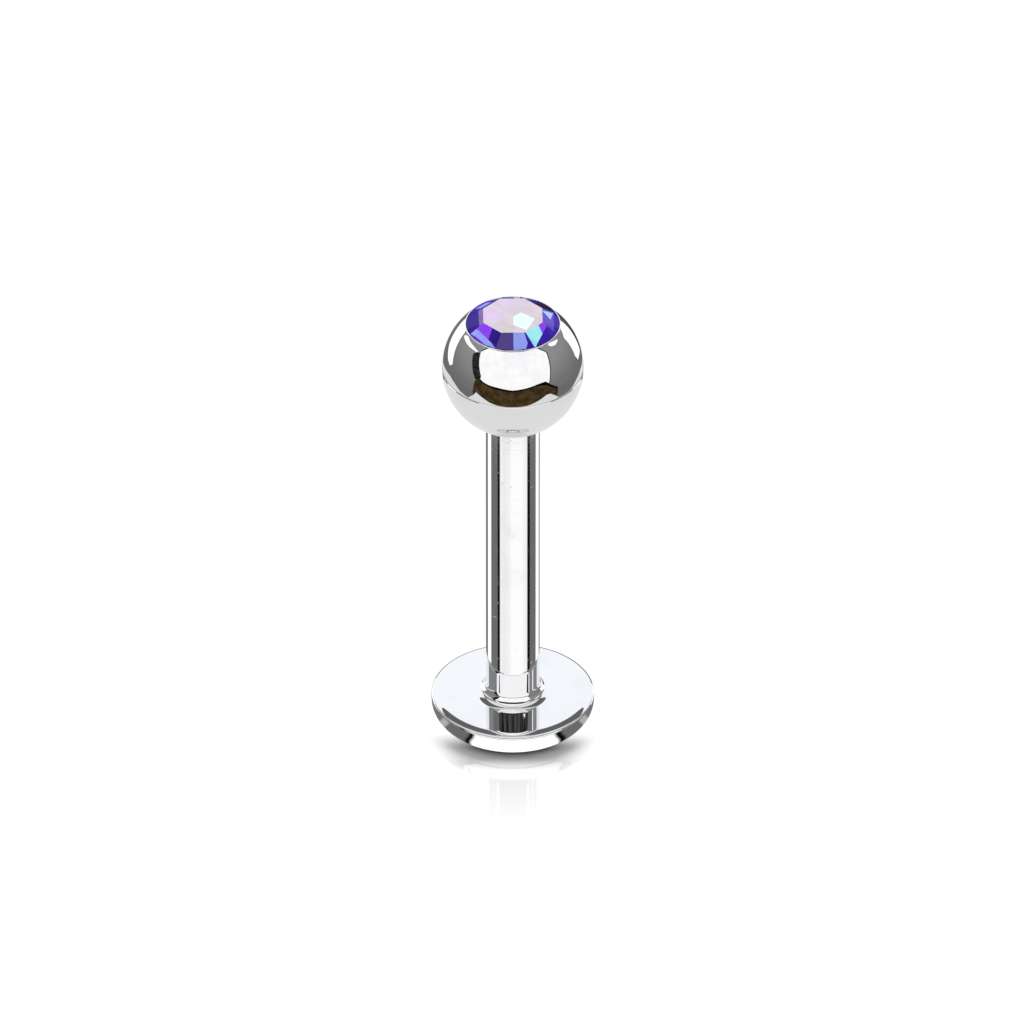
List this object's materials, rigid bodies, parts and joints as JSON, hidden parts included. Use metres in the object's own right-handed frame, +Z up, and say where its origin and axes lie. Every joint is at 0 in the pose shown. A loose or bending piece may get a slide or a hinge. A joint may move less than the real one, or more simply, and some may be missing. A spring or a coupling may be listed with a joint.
{
  "type": "labret stud",
  "caption": "Labret stud: straight post with a round flat disc at its foot, and a screw-on ball that holds a faceted stone.",
  "frame": {"origin": "centre of the disc's flat underside", "axes": "+Z up along the shaft, from the disc to the ball; the stone's table faces +Z"},
  "size_m": [0.0048, 0.0048, 0.0145],
  "materials": {
    "post_steel": "mirror-polished surgical steel",
    "ball_steel": "mirror-polished surgical steel",
    "stone": "faceted, violet-blue with an iridescent coating"
  },
  "bodies": {
    "post": {"labret_post": "post_steel"},
    "ball_end": {"ball": "ball_steel", "gem": "stone"}
  },
  "joints": [
    {"name": "ball_unscrew", "type": "slide", "parent": "post", "child": "ball_end", "axis": [0, 0, 1], "range_m": [0, 0.0105]}
  ]
}
